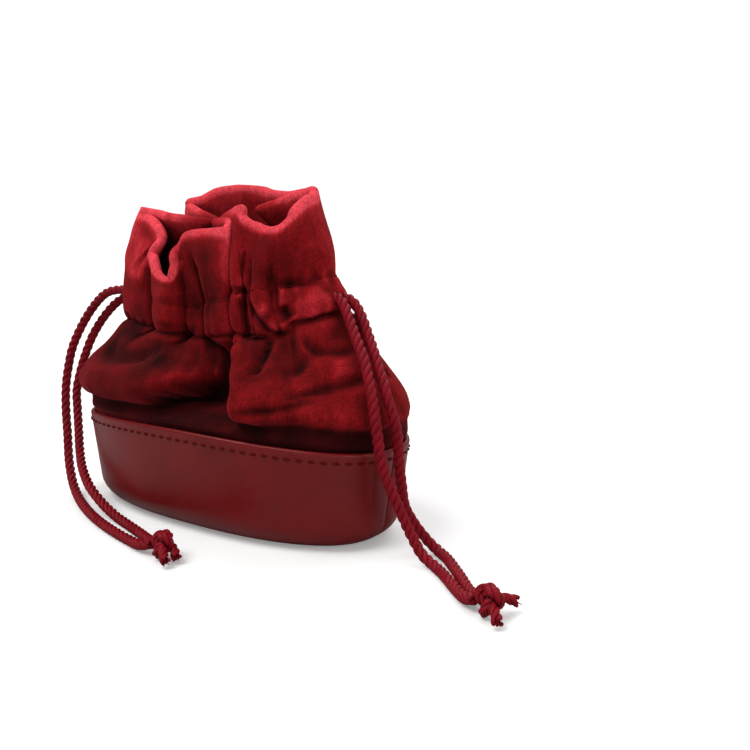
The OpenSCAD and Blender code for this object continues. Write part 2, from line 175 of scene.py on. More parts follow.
def add_object(name, data):
    obj = bpy.data.objects.new(name, data)
    bpy.context.scene.collection.objects.link(obj)
    return obj


def make_camera():
    data = bpy.data.cameras.new("camera")
    data.sensor_width = SENSOR
    data.lens = LENS
    cam = add_object("camera", data)
    turned = Vector(CAMERA_AIM).to_track_quat("-Z", "Y").to_matrix().to_4x4()
    cam.matrix_world = Matrix.Translation(Vector(CAMERA_AT) * MM) @ turned
    bpy.context.scene.camera = cam


make_camera()


# ---- shared helpers

def add_mesh(name, points, faces, material, uvs=None):
    """Smooth-shaded mesh object from points in millimetres."""
    mesh = bpy.data.meshes.new(name)
    mesh.from_pydata((points * MM).tolist(), [], faces)
    mesh.validate()
    if uvs is not None:
        layer = mesh.uv_layers.new(name="weave")
        loops = np.zeros(len(mesh.loops), int)
        mesh.loops.foreach_get("vertex_index", loops)
        layer.data.foreach_set("uv", np.asarray(uvs, np.float32)[loops].ravel())
    mesh.polygons.foreach_set("use_smooth", [True] * len(mesh.polygons))
    mesh.materials.append(material)
    return add_object(name, mesh)


def fix_normals(obj):
    bm = bmesh.new()
    bm.from_mesh(obj.data)
    bmesh.ops.recalc_face_normals(bm, faces=bm.faces)
    bm.to_mesh(obj.data)
    bm.free()


def grid_faces(rows, cols):
    """Quads of an open tube, whose rings of cols points are rows of a grid."""
    faces = []
    for low in range(0, (rows - 1) * cols, cols):
        for c in range(cols):
            c2 = (c + 1) % cols
            faces.append((low + c, low + c2, low + cols + c2, low + cols + c))
    return faces


def closed_faces(rows, cols):
    """The same with a face over each end."""
    last = (rows - 1) * cols
    return grid_faces(rows, cols) + [tuple(range(cols - 1, -1, -1)), tuple(range(last, last + cols))]


def unit(v):
    """Vectors made one long, along the last axis."""
    return v / np.maximum(np.linalg.norm(v, axis=-1, keepdims=True), 1e-9)


def oval(half_len, half_dep, turn):
    """Points in plan of the squarish oval outline of those half sizes."""
    turn = np.radians(turn)
    way = np.stack([np.cos(turn), np.sin(turn)], -1)
    half = np.stack(np.broadcast_arrays(half_len, half_dep), -1)
    return half * np.sign(way) * np.abs(way) ** (2 / SQUARENESS)


def oval_normal(half_len, half_dep, turn):
    p = oval(half_len, half_dep, turn)
    half = np.array([half_len, half_dep])
    return unit(np.sign(p) * np.abs(p / half) ** (SQUARENESS - 1) / half)


def catmull(points, samples, closed=False):
    """Smooth line through points, an array (count, ...), with that many samples to each stretch."""
    p = np.asarray(points, float)
    if closed:
        ahead = np.roll(p, -1, axis=0) - p
        behind = np.roll(ahead, 1, axis=0)
        # a short stretch beside a long one isn't overshot
        slope = (ahead + behind) / 2
        short = np.minimum(np.linalg.norm(ahead, axis=-1), np.linalg.norm(behind, axis=-1))
        size = np.maximum(np.linalg.norm(slope, axis=-1), 1e-9)
        slope = slope * np.minimum(1, 1.3 * short / size)[:, None]
        p = np.concatenate([p, p[:1]])
        slope = np.concatenate([slope, slope[:1]])
    else:
        slope = np.gradient(p, axis=0)
    t = (np.arange(samples) / samples).reshape((-1,) + (1,) * (p.ndim - 1))
    out = []
    for a, b, m, n in zip(p[:-1], p[1:], slope[:-1], slope[1:]):
        out.append((2 * t ** 3 - 3 * t ** 2 + 1) * a + (t ** 3 - 2 * t ** 2 + t) * m
            + (3 * t ** 2 - 2 * t ** 3) * b + (t ** 3 - t ** 2) * n)
    if not closed:
        out.append(p[-1:])
    return np.concatenate(out)


def smooth(t):
    t = np.clip(t, 0, 1)
    return t * t * (3 - 2 * t)


def distance_along(line):
    """How far along a line each of its points lies."""
    return np.concatenate([[0], np.cumsum(np.linalg.norm(np.diff(line, axis=0), axis=1))])


def points_at(line, gone, where):
    """Points of a line at those distances; gone is what distance_along gives for it."""
    return np.stack([np.interp(where, gone, line[:, k]) for k in range(3)], -1)


def even_line(line, spacing):
    """Points at equal distances along a line, and its length."""
    gone = distance_along(line)
    count = max(2, int(round(gone[-1] / spacing)) + 1)
    return points_at(line, gone, np.linspace(0, gone[-1], count)), gone[-1]


def frames_along(path):
    """Two cross directions at each point of a path, turned as little as possible."""
    tangent = unit(np.gradient(path, axis=0))
    side = unit(np.cross(tangent[0], [0.3, 0.2, 0.93]))
    sides = []
    for t in tangent:
        side = unit(side - t * np.dot(side, t))
        sides.append(side)
    sides = np.array(sides)
    return sides, np.cross(tangent, sides)


def tube(path, radius, sides):
    """Points, faces and weave coordinates of a closed round tube along a path."""
    u, v = frames_along(path)
    radius = np.broadcast_to(np.asarray(radius, float), (len(path),))
    turn = np.arange(sides) * 2 * math.pi / sides
    ring = path[:, None] + radius[:, None, None] * (u[:, None] * np.cos(turn)[None, :, None]
        + v[:, None] * np.sin(turn)[None, :, None])
    gone = distance_along(path)[:, None]
    uv = np.stack(np.broadcast_arrays(gone, np.arange(sides) / sides), -1)
    return ring.reshape(-1, 3), closed_faces(len(path), sides), uv.reshape(-1, 2)


def join_parts(parts):
    points, faces, uvs, base = [], [], [], 0
    for p, f, uv in parts:
        points.append(p)
        uvs.append(uv)
        faces += [tuple(i + base for i in face) for face in f]
        base += len(p)
    return np.concatenate(points), faces, np.concatenate(uvs)


# ---- materials

def new_material(name):
    material = bpy.data.materials.new(name)
    material.use_nodes = True
    nodes = material.node_tree.nodes
    return material, nodes, material.node_tree.links, nodes["Principled BSDF"]


def set_inputs(node, values):
    """Sets constants on a node's own sockets."""
    for name, value in values.items():
        node.inputs[name].default_value = value


def noise_node(nodes, links, coords, scale, detail, rough=0.5):
    node = nodes.new("ShaderNodeTexNoise")
    set_inputs(node, {"Scale": scale, "Detail": detail, "Roughness": rough})
    links.new(coords, node.inputs["Vector"])
    return node.outputs["Fac"]


def ramp_node(nodes, links, value, stops):
    node = nodes.new("ShaderNodeValToRGB")
    ramp = node.color_ramp
    ramp.elements[0].position, ramp.elements[0].color = stops[0][0], (*stops[0][1], 1)
    ramp.elements[1].position, ramp.elements[1].color = stops[-1][0], (*stops[-1][1], 1)
    for place, colour in stops[1:-1]:
        ramp.elements.new(place).color = (*colour, 1)
    links.new(value, node.inputs["Fac"])
    return node.outputs["Color"]


def shade(nodes, links, colour, value, low, high, amount):
    """The colour times a grey, in that amount; low and high are the grey's two stops, (value, grey) each."""
    grey = ramp_node(nodes, links, value, [(at, (tone, tone, tone)) for at, tone in (low, high)])
    node = nodes.new("ShaderNodeMix")
    node.data_type, node.blend_type = "RGBA", "MULTIPLY"
    node.inputs["Factor"].default_value = amount
    links.new(colour, node.inputs["A"])
    links.new(grey, node.inputs["B"])
    return node.outputs["Result"]


def bump_node(nodes, links, height, strength, distance, before=None):
    node = nodes.new("ShaderNodeBump")
    set_inputs(node, {"Strength": strength, "Distance": distance})
    links.new(height, node.inputs["Height"])
    if before is not None:
        links.new(before, node.inputs["Normal"])
    return node.outputs["Normal"]


def object_coords(nodes, links, stretch=(1, 1, 1)):
    coords = nodes.new("ShaderNodeTexCoord").outputs["Object"]
    mapping = nodes.new("ShaderNodeMapping")
    mapping.inputs["Scale"].default_value = stretch
    links.new(coords, mapping.inputs["Vector"])
    return mapping.outputs["Vector"]


def painted_hollow_shade(nodes, links, colour, reach, floor, full):
    """Painted shade: the colour, darkened to that share of itself where the surface within reach closes it
    in.
    """
    hollow = nodes.new("ShaderNodeAmbientOcclusion")
    hollow.samples = 8
    hollow.inputs["Distance"].default_value = reach
    return shade(nodes, links, colour, hollow.outputs["AO"], (0.15, floor), (full, 1.0), 1.0)


def make_velvet():
    material, nodes, links, shader = new_material("velvet")
    coords = object_coords(nodes, links)
    brushed = object_coords(nodes, links, (1, 1, 0.35))
    patches = noise_node(nodes, links, coords, 70, 3)
    strokes = noise_node(nodes, links, brushed, 420, 3, 0.6)
    pile = noise_node(nodes, links, object_coords(nodes, links, (1, 1, 0.6)), 2200, 3, 0.75)
    # painted highlight on the crests and painted shade in the hollows, from each point's painted light level,
    # with random tone added
    painted_light = nodes.new("ShaderNodeAttribute")
    painted_light.attribute_name = "painted_light"
    tone_and_painted_light = nodes.new("ShaderNodeMath")
    tone_and_painted_light.operation = "MULTIPLY_ADD"
    tone_and_painted_light.inputs[1].default_value = 0.35
    links.new(patches, tone_and_painted_light.inputs[0])
    links.new(painted_light.outputs["Fac"], tone_and_painted_light.inputs[2])
    # the level runs from near-black painted shade to a pale pink painted highlight
    base = ramp_node(nodes, links, tone_and_painted_light.outputs[0], [
        (0.14, (0.012, 0.0004, 0.0006)), (0.44, (0.135, 0.0030, 0.0042)), (0.67, (0.25, 0.0060, 0.0088)),
        (0.85, (0.50, 0.022, 0.030)), (1.0, (0.86, 0.070, 0.095))])
    colour = shade(nodes, links, base, strokes, (0.3, 0.66), (0.7, 1.3), 0.7)
    colour = shade(nodes, links, colour, pile, (0.32, 0.5), (0.66, 1.5), 0.75)
    # painted shade, darker down in the folds
    links.new(painted_hollow_shade(nodes, links, colour, 0.014, 0.22, 0.75), shader.inputs["Base Color"])
    set_inputs(shader, {"Roughness": 0.95, "Specular IOR Level": 0.1, "Sheen Weight": 0.45,
        "Sheen Roughness": 0.3, "Sheen Tint": (1.0, 0.07, 0.09, 1)})
    normal = bump_node(nodes, links, strokes, 0.35, 0.0004)
    links.new(bump_node(nodes, links, pile, 0.8, 0.0003, normal), shader.inputs["Normal"])
    return material


def make_leather():
    material, nodes, links, shader = new_material("leather")
    coords = object_coords(nodes, links)
    grain = nodes.new("ShaderNodeTexVoronoi")
    grain.feature = "DISTANCE_TO_EDGE"
    grain.inputs["Scale"].default_value = 1500
    links.new(coords, grain.inputs["Vector"])
    soft = noise_node(nodes, links, coords, 60, 4)
    fine = noise_node(nodes, links, coords, 500, 3)
    base = ramp_node(nodes, links, soft, [(0.3, (0.155, 0.0020, 0.0028)), (0.7, (0.20, 0.0030, 0.0042))])
    colour = shade(nodes, links, base, fine, (0.35, 0.9), (0.65, 1.06), 0.6)
    links.new(colour, shader.inputs["Base Color"])
    rough = nodes.new("ShaderNodeMapRange")
    set_inputs(rough, {"To Min": 0.30, "To Max": 0.42})
    links.new(fine, rough.inputs["Value"])
    links.new(rough.outputs["Result"], shader.inputs["Roughness"])
    shader.inputs["Specular IOR Level"].default_value = 0.32
    cell = nodes.new("ShaderNodeMapRange")
    cell.inputs["From Max"].default_value = 0.12
    links.new(grain.outputs["Distance"], cell.inputs["Value"])
    normal = bump_node(nodes, links, cell.outputs["Result"], 0.12, 0.00006)
    links.new(bump_node(nodes, links, soft, 0.25, 0.0008, normal), shader.inputs["Normal"])
    return material


def make_yarn(name, dark, light, rough, twist):
    """Satin yarn whose fibres slant along the weave coordinates, which are in millimetres and turns."""
    material, nodes, links, shader = new_material(name)
    place = nodes.new("ShaderNodeUVMap")
    place.uv_map = "weave"
    mapping = nodes.new("ShaderNodeMapping")
    mapping.inputs["Scale"].default_value = (1.0, twist, 1)
    links.new(place.outputs["UV"], mapping.inputs["Vector"])
    waves = nodes.new("ShaderNodeTexWave")
    waves.bands_direction = "DIAGONAL"
    set_inputs(waves, {"Scale": 1.1, "Distortion": 1.2, "Detail": 2, "Detail Scale": 2})
    links.new(mapping.outputs["Vector"], waves.inputs["Vector"])
    patches = noise_node(nodes, links, object_coords(nodes, links), 250, 3)
    fibres = ramp_node(nodes, links, waves.outputs["Fac"], [(0.1, dark), (0.8, light)])
    colour = shade(nodes, links, fibres, patches, (0.3, 0.8), (0.7, 1.15), 0.7)
    # painted shade, darker down between the strands
    links.new(painted_hollow_shade(nodes, links, colour, 0.0011, 0.12, 0.8), shader.inputs["Base Color"])
    set_inputs(shader, {"Roughness": rough, "Specular IOR Level": 0.12, "Sheen Weight": 0.03,
        "Sheen Roughness": 0.4, "Sheen Tint": (0.9, 0.08, 0.14, 1)})
    normal = bump_node(nodes, links, waves.outputs["Fac"], 0.5, 0.00012)
    links.new(normal, shader.inputs["Normal"])
    return material


def make_plain(name, dark, light, scale, rough, height):
    """Matt material with a woven or fibrous speckle of that scale."""
    material, nodes, links, shader = new_material(name)
    coords = object_coords(nodes, links)
    speck = noise_node(nodes, links, coords, scale, 3, 0.6)
    weave = nodes.new("ShaderNodeTexWave")
    weave.bands_direction = "DIAGONAL"
    set_inputs(weave, {"Scale": scale * 0.8, "Distortion": 1.5})
    links.new(coords, weave.inputs["Vector"])
    links.new(ramp_node(nodes, links, speck, [(0.3, dark), (0.7, light)]), shader.inputs["Base Color"])
    set_inputs(shader, {"Roughness": rough, "Specular IOR Level": 0.1})
    normal = bump_node(nodes, links, weave.outputs["Fac"], 0.4, height)
    links.new(bump_node(nodes, links, speck, 0.4, height, normal), shader.inputs["Normal"])
    return material


VELVET = make_velvet()
LEATHER = make_leather()
CORD = make_yarn("cord", (0.10, 0.0012, 0.0042), (0.38, 0.0060, 0.0190), 0.42, 3.0)
CHANNEL_THREAD = make_plain("channel_thread", (0.09, 0.002, 0.003), (0.15, 0.004, 0.006), 2500, 0.7, 0.00004)
THREAD = make_plain("thread", (0.07, 0.0015, 0.002), (0.12, 0.003, 0.004), 2500, 0.7, 0.00004)
LINING = make_plain("lining", (0.10, 0.003, 0.006), (0.17, 0.006, 0.011), 900, 0.7, 0.00008)
BOARD = make_plain("board", (0.30, 0.27, 0.24), (0.42, 0.39, 0.36), 300, 0.9, 0.0001)


# ---- cords

def twisted(line, length, off, radius, lay, sides, phase=0.0):
    """Tubes of three strands that wind round a line, off it by that much, with a full turn in each lay."""
    gone = np.linspace(0, length, len(line))
    u, v = frames_along(line)
    turns = [2 * math.pi * (gone / lay + k / 3) + phase for k in range(3)]
    return [tube(line + (off * np.cos(t))[:, None] * u + (off * np.sin(t))[:, None] * v, radius, sides)
        for t in turns]


def cord_mesh(name, parts):
    """One cord piece from its tubes, none of which dips into the surface the pouch stands on."""
    points, faces, uvs = join_parts(parts)
    points[:, 2] = np.maximum(points[:, 2], CORD_FLOOR)
    obj = add_mesh(name, points, faces, CORD, uvs=uvs)
    return obj


def rope(name, route, phase):
    """Twisted cord along a route of points, with the line it follows and its length."""
    line, length = even_line(catmull(route, 12), 0.55)
    return cord_mesh(name, twisted(line, length, STRAND_OFF, STRAND_R, LAY, 10, phase)), line, length


def trefoil(size):
    """Centre line of a tight overhand knot whose outer size is about that, in millimetres."""
    t = np.linspace(0, 2 * math.pi, 90)
    pts = np.stack([np.sin(t) + 2 * np.sin(2 * t), np.cos(t) - 2 * np.cos(2 * t), -1.2 * np.sin(3 * t)], -1)
    return pts * (size / 2 - CORD_D / 2) / 3.0


def frayed(tail, picks):
    """Loose fibres at the cut end of a tail."""
    tip, before = np.array(tail[-1], float), np.array(tail[-2], float)
    ahead = unit(tip - before)
    fibres = []
    for _ in range(FRAYS):
        lean = ahead + picks.normal(0, 0.3, 3)
        start = tip - ahead * 0.9 + picks.normal(0, 0.42, 3)
        reach = picks.uniform(0.7, 1.4)
        path = np.array([start + lean * reach * q + [0, 0, -0.25 * q * q] for q in (0, 0.35, 0.7, 1.0)])
        path[:, 2] = np.maximum(path[:, 2], FRAY_FLOOR)
        fibres.append(tube(path, [0.18, 0.17, 0.14, 0.07], 5))
    return fibres


def make_knot(name, place, heading, tails):
    """Overhand knot with its cut ends, at a place on the surface."""
    turned = Matrix.Rotation(math.radians(heading), 3, "Z") @ Matrix.Rotation(math.radians(KNOT_LEAN), 3, "X")
    line, length = even_line(trefoil(KNOT_D + 1.4) @ np.array(turned).T + place, 0.5)
    parts = twisted(line, length, KNOT_STRAND_OFF, KNOT_STRAND_R, KNOT_LAY, 8)
    for tail in tails:
        line, length = even_line(catmull(tail, 8), 0.5)
        left = length - np.linspace(0, length, len(line))
        # a cut end's strands part and thin out
        spread = KNOT_STRAND_OFF + 0.5 * smooth((2 - left) / 2)
        fat = KNOT_STRAND_R * (1 - 0.35 * smooth((1.5 - left) / 1.5))
        parts += twisted(line, length, spread, fat, KNOT_LAY, 8)
    picks = np.random.default_rng(7)
    for tail in tails:
        parts += frayed(tail, picks)
    return cord_mesh(name, parts)


def make_cords():
    cords = {"left": (LEFT_OUTER, LEFT_INNER, LEFT_KNOT, -25, [
            [(13.5, -46.5, 4.2), (16, -48.5, 3.4), (18.5, -50.2, 2.2)],
            [(13, -43.5, 4), (16, -44.5, 3.2), (18.5, -46.2, 2)]]),
        "right": (RIGHT_OUTER, RIGHT_INNER, RIGHT_KNOT, -30, [
            [(105, -25, 4.4), (106.8, -22.8, 3.8), (108.4, -21, 2.8)],
            [(105.5, -28.5, 4), (107.6, -30.6, 3), (109.2, -32.6, 2)]])}
    for side, (outer, inner, knot_place, heading, tails) in cords.items():
        body = f"cord_{side}"
        knot = make_knot(f"{side}_knot", np.array(knot_place), heading, tails)
        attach(knot, body)
        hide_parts(f"{side}_cord_knot", f"{side}_cord_tails")
        for which, route, phase in (("outer", outer, 0.0), ("inner", inner, 1.1)):
            piece, line, length = rope(f"{side}_strand_{which}", route, phase)
            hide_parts(f"{side}_cord_{which}_strand")
            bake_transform(piece)


make_cords()


# ---- leather base

def base_points(turn, out, z):
    """Points on the leather wall, as part.scad has them: turn angles, distance out, height before the dip."""
    turn, out, z = np.broadcast_arrays(np.asarray(turn, float), out, z)
    lean = 1 - z / WALL_H
    plan = oval(BASE_LEN / 2 - END_TAPER * lean + out, BASE_DEP / 2 - SIDE_TAPER * lean + out, turn)
    dip = RIM_DIP * (plan[..., 0] / (BASE_LEN / 2)) ** 2 * np.maximum(0, z) / WALL_H
    return np.concatenate([plan, (z - dip)[..., None]], -1)


def even_turns(point, start, end, count):
    """Turn angles at equal distances along a ring."""
    turns = np.linspace(start, end, 1200)
    gone = distance_along(point(turns))
    return np.interp(np.linspace(0, gone[-1], count), gone, turns)


def make_leather_band(name, start, end):
    foot = np.radians(np.linspace(0, 90, 9))
    outer = [(FOOT_R * math.sin(a) - FOOT_R, FOOT_R - FOOT_R * math.cos(a)) for a in foot]
    outer += [(0, z) for z in (11, 15, 19, 23, 26, 28)]
    outer += [(-0.05, 29), (0.04, 30), (0.04, WALL_H - 0.9), (-0.12, WALL_H - 0.3)]
    top = [(-0.5, WALL_H), (-LEATHER_T + 0.45, WALL_H), (-LEATHER_T + 0.1, WALL_H - 0.35)]
    deep = FOOT_R - LEATHER_T
    inner = [(-LEATHER_T, z) for z in (WALL_H - 1, 26, 20, 14)]
    inner += [(deep * math.sin(a) - FOOT_R, FOOT_R - deep * math.cos(a)) for a in foot[::-1]]
    profile = np.array(outer + top + inner)
    turns = even_turns(lambda t: base_points(t, 0, 20), start, end, 150)
    grid = base_points(turns[:, None], profile[None, :, 0], profile[None, :, 1])
    # the edges of the two panels turn in to the end seam
    edge = np.minimum(np.abs(turns - start), np.abs(end - turns))
    pull = 0.55 * np.exp(-(edge / 1.1) ** 2)
    pull *= np.sign(np.cos(np.radians(turns)))
    grid[:, :, 0] -= pull[:, None] * np.exp(-(profile[:, 0] / 3) ** 2)[None]
    obj = add_mesh(name, grid.reshape(-1, 3), closed_faces(*grid.shape[:2]), LEATHER)
    fix_normals(obj)
    obj.data.set_sharp_from_angle(angle=math.radians(50))
    return obj


def stitch_beads(name, places, heads, ups, length, width, height, material):
    """Short rounded stitches, each a capsule that dips into the surface at both ends."""
    rings, sides = 9, 8
    parts = []
    for place, head, up in zip(places, heads, ups):
        head = unit(head)
        side = unit(np.cross(up, head))
        up = np.cross(head, side)
        along = np.linspace(-1, 1, rings)
        fat = np.sqrt(np.maximum(0, 1 - np.abs(along) ** 3)) + 0.08
        lift = height * (0.75 - 1.1 * along ** 2)
        turn = np.arange(sides) * 2 * math.pi / sides
        pts = (place + along[:, None, None] * head * length / 2 + lift[:, None, None] * up
            + (fat[:, None] * np.cos(turn))[..., None] * side * width / 2
            + (fat[:, None] * np.sin(turn))[..., None] * up * height * 0.7)
        uv = np.stack(np.broadcast_arrays((along * length / 2)[:, None], np.arange(sides) / sides), -1)
        parts.append((pts.reshape(-1, 3), closed_faces(rings, sides), uv.reshape(-1, 2)))
    points, faces, uvs = join_parts(parts)
    obj = add_mesh(name, points, faces, material, uvs=uvs)
    fix_normals(obj)
    return obj


def make_rim_stitches(name, start, end):
    z = WALL_H - RIM_SEAM_DOWN
    count = int(distance_along(base_points(np.linspace(start, end, 1200), 0, z))[-1] / STITCH_PITCH)
    turns = even_turns(lambda t: base_points(t, 0, z), start, end, 2 * count + 1)[1::2]
    places = base_points(turns, 0, z)
    heads = base_points(turns + 0.3, 0, z) - base_points(turns - 0.3, 0, z)
    outs = base_points(turns, 1, z) - places
    return stitch_beads(name, places, heads, outs, *RIM_STITCH, THREAD)


def make_base():
    for half, start, end in (("front", 180.15, 359.85), ("back", 0.15, 179.85)):
        band = make_leather_band(f"leather_{half}", start, end)
        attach(band, "base")
        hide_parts(f"leather_band_{half}")
        stitches = make_rim_stitches(f"rim_stitches_{half}", start + 0.6, end - 0.6)
        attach(stitches, "base")
        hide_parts(f"rim_topstitch_{half}")
    looks = {"leather_sole": LEATHER, "base_board": BOARD, "lining_floor": LINING, "lining_wall": LINING,
        "end_seam_thread_left": THREAD, "end_seam_thread_right": THREAD}
    for node, material in looks.items():
        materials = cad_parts[node].data.materials
        materials.clear()
        materials.append(material)


make_base()


# ---- velvet

def even_out(ring, width):
    """Evens out a closed ring, or a grid of them, over about that many columns."""
    waves = np.fft.rfftfreq(len(ring)).reshape((-1,) + (1,) * (ring.ndim - 1))
    keep = np.exp(-2 * (math.pi * width * waves) ** 2)
    return np.fft.irfft(np.fft.rfft(ring, axis=0) * keep, len(ring), axis=0)


def plan_normals(ring):
    """Outward directions in plan of closed rings, an array (columns, ..., 3)."""
    ahead = np.roll(ring, -1, axis=0) - np.roll(ring, 1, axis=0)
    return unit(np.stack([ahead[..., 1], -ahead[..., 0], np.zeros(ahead.shape[:-1])], -1))


def fold_columns():
    """The folds' values at every column of the velvet."""
    turn = np.array([f[0] for f in FOLDS], float)
    padded = np.concatenate([turn[-2:] - 360, turn, turn[:3] + 360])
    turns = catmull(padded, STEP)[2 * STEP:(2 + len(FOLDS)) * STEP]
    # angles only grow, so a fold never crosses its neighbour in the body
    turns = np.maximum.accumulate(turns)
    depth = [f[1] for f in FOLDS] + [FOLDS[0][1]]
    turned = smooth(np.arange(STEP) / STEP)
    bulge = np.concatenate([a + (b - a) * turned for a, b in zip(depth[:-1], depth[1:])])
    rest = [catmull([np.atleast_1d(f[k]) for f in FOLDS], STEP, closed=True) for k in (2, 3, 4, 5)]
    return turns, bulge, *rest


def body_grid(turns, bulge, casing, lines):
    """Outer face of the velvet body, (columns, rows, 3): from behind the leather's rim up to the channel."""
    low = lines[:, 0]
    c = np.cos(np.radians(turns))
    soft = even_out(casing, CHANNEL_EVEN)
    kinds = {"tent": smooth((c - 0.25) / 0.6), "end": smooth((-c - 0.45) / 0.5)}
    rest = 1 - kinds["tent"] - kinds["end"]
    kinds["roll"] = rest * (c < math.cos(math.radians(ROLL_END)))
    kinds["bulge"] = rest - kinds["roll"]
    shares, outs = (sum(np.outer(SIDES[k][i], w) for k, w in kinds.items()) for i in (0, 1))
    rows = []
    for out, z in [(-4.2, 26.5), (-2.2, 30.5), (-1.6, 32.2), (-0.9, 33.4), (-0.6, STRIP_TOP)]:
        rows.append(base_points(turns, out, min(z, WALL_H)) + [0, 0, max(0, z - WALL_H)])
    rim_z = rows[-1][:, 2]
    outline = oval(BODY_LEN / 2, BODY_DEP / 2, turns)
    normal = oval_normal(BODY_LEN / 2, BODY_DEP / 2, turns)
    # folds of the neck die out just below it over the big roll, lower down elsewhere
    first_fold = 0.5 + 0.3 * kinds["roll"]
    for up, share, out, fold in zip(SIDE_UP, shares, outs, FOLD_SHARE):
        z = rim_z + (low - rim_z) * up
        ring = outline + normal * (out - 1.0)[:, None] - [1.0 * float(smooth(up / 0.3)), 0]
        keen = smooth((up - first_fold) / (0.97 - first_fold))[:, None]
        neck = casing * keen + soft * (1 - keen)
        # the big roll's right end is rounded off below
        lead = np.interp(turns + 12 * (1 - smooth(up / 0.6)), turns, bulge)
        push = np.where((turns > 240) & (turns < 283), np.minimum(bulge, lead), bulge)
        ring = ring * share[:, None] + neck * (1 - share)[:, None] + normal * (push * fold)[:, None]
        rows.append(np.stack([ring[:, 0], ring[:, 1], z], -1))
    rows.append(np.stack([casing[:, 0], casing[:, 1], low], -1))
    # drawn in a little where it meets the channel
    rows[-1] -= plan_normals(rows[-1]) * 0.7
    return np.swapaxes(catmull(rows, 7), 0, 1)


def full_pile(casing):
    """How far the thick pile hides the upper stitch line: 1 at the front left."""
    return smooth((-5 - casing[:, 0]) / 6) * smooth((-1 - casing[:, 1]) / 5)


def neck_grid(casing, lines, rim, belly):
    """Outer face of the channel and header, (columns, rows, 3)."""
    low, high = lines[:, 0], lines[:, 1]
    floor = np.stack([casing[:, 0], casing[:, 1], low], -1)
    seam = np.stack([casing[:, 0] - 6.2 * smooth((casing[:, 0] - 10) / 33), casing[:, 1], high], -1)
    out = plan_normals(floor)
    rows = [floor - out * 0.7]
    for up, far in [(0.13, 0.6), (0.5, 1.1), (0.87, 0.6), (1.0, 0.1)]:
        fill = 0.7 * full_pile(casing) * smooth((up - 0.6) / 0.4)
        rows.append(floor * (1 - up) + seam * up + out * (far + fill)[:, None])
    for up, far, full in [(0.14, 0.5, 0.3), (0.4, 0.9, 1), (0.7, 0.7, 1), (0.88, 0.4, 0.5), (1, 0, 0)]:
        ring = seam * (1 - smooth(up)) + rim * smooth(up)
        ring[:, 2] = seam[:, 2] * (1 - up) + rim[:, 2] * up
        rows.append(ring + plan_normals(ring) * (far + full * belly))
    return np.swapaxes(catmull(rows, 6), 0, 1)


def surface_normals(grid):
    around = np.roll(grid, -1, axis=0) - np.roll(grid, 1, axis=0)
    return unit(np.cross(around, np.gradient(grid, axis=1)))


def blur(grid, times):
    """Evens out a grid whose columns run round the pouch; its first and last rows only round it."""
    for _ in range(times):
        side = (np.roll(grid, 1, axis=0) + np.roll(grid, -1, axis=0)) / 2
        mixed = grid * 0.5 + side * 0.5
        mixed[:, 1:-1] = mixed[:, 1:-1] * 0.6 + (mixed[:, :-2] + mixed[:, 2:]) * 0.2
        grid = mixed
    return grid


def ripple(points, size, seed):
    """Smooth noise at each point, about -1 to 1, whose bumps are of that size in millimetres."""
    flat = points.reshape(-1, 3) / size + seed
    values = [noise.noise(Vector(p)) for p in flat]
    return np.array(values).reshape(points.shape[:-1]) * 1.6


def creases(points, front, routes):
    """Depth at each point of creases on one side: (width, depth, [(x, z), ...]) each."""
    dip, swell = np.zeros(points.shape[:-1]), np.zeros(points.shape[:-1])
    flat = points[..., [0, 2]]
    for width, deep, line in routes:
        line = np.array(line, float)
        gone = distance_along(line)
        far, place = np.full(points.shape[:-1], 1e9), np.zeros(points.shape[:-1])
        for a, b, start, end in zip(line[:-1], line[1:], gone[:-1], gone[1:]):
            t = np.clip(((flat - a) @ (b - a)) / ((b - a) @ (b - a)), 0, 1)
            reach = np.linalg.norm(flat - a - t[..., None] * (b - a), axis=-1)
            place = np.where(reach < far, (start + (end - start) * t) / gone[-1], place)
            far = np.minimum(far, reach)
        # both ends run out shallow
        amount = deep * np.exp(-(far / width) ** 2) * smooth(np.minimum(place, 1 - place) / 0.3 + 0.35)
        dip, swell = np.maximum(dip, amount), np.minimum(swell, amount)
    return (dip + swell) * front


# How far forward the neck comes, by x: creases leave what is tucked in behind it as it is
FRONT_LINE = ((-48, -40, -30, -20, -10, 28, 34, 41, 46), (-1, -8, -12, -16, -16, -14.5, -11.5, -6.5, -3))
# Creases of the neck: width, depth (below 0 for a swelling) and line in x and z, as the lists below it
NECK_CREASES = [
    (1.2, 1.5, [(13, 72.5), (17.5, 73)]),
    (1.2, 1.4, [(16.8, 71), (18, 66), (18.8, 60)]),
    (1.3, 1.6, [(16.5, 74), (18.3, 70.5), (21.3, 66.2), (25.8, 61.3), (31, 58.2)]),
    (1.5, 1.7, [(26.3, 75.5), (26.7, 72), (27.7, 68.4), (32.2, 63.6)]),
    (2.2, 2.6, [(29.1, 68.7), (31.6, 64.8)]),
    (1.2, 1.5, [(26.6, 74.5), (35.5, 75.7), (43, 77.4)]),
    (1.3, 1.8, [(30.4, 63.2), (38, 64.6), (45.5, 67.6)]),
    (2.0, 2.2, [(-29, 79.5), (-26.8, 72.4), (-24.8, 66), (-24, 60)]),
    (1.5, 1.6, [(-24, 62), (-21.2, 58.5), (-19, 57), (-13.3, 56.6), (-6.6, 57.7), (-3.5, 60)]),
    (1.5, 1.5, [(-32.5, 57.5), (-38.7, 59.3), (-42.4, 62.4)]),
    (3.0, -1.5, [(19.5, 75), (22.3, 70.5), (26.3, 66)]),
    (5.5, -1.8, [(-12.5, 73), (-12.5, 66), (-13, 61)]),
    (3.5, -1.2, [(33, 69.5), (42, 71.5)])]
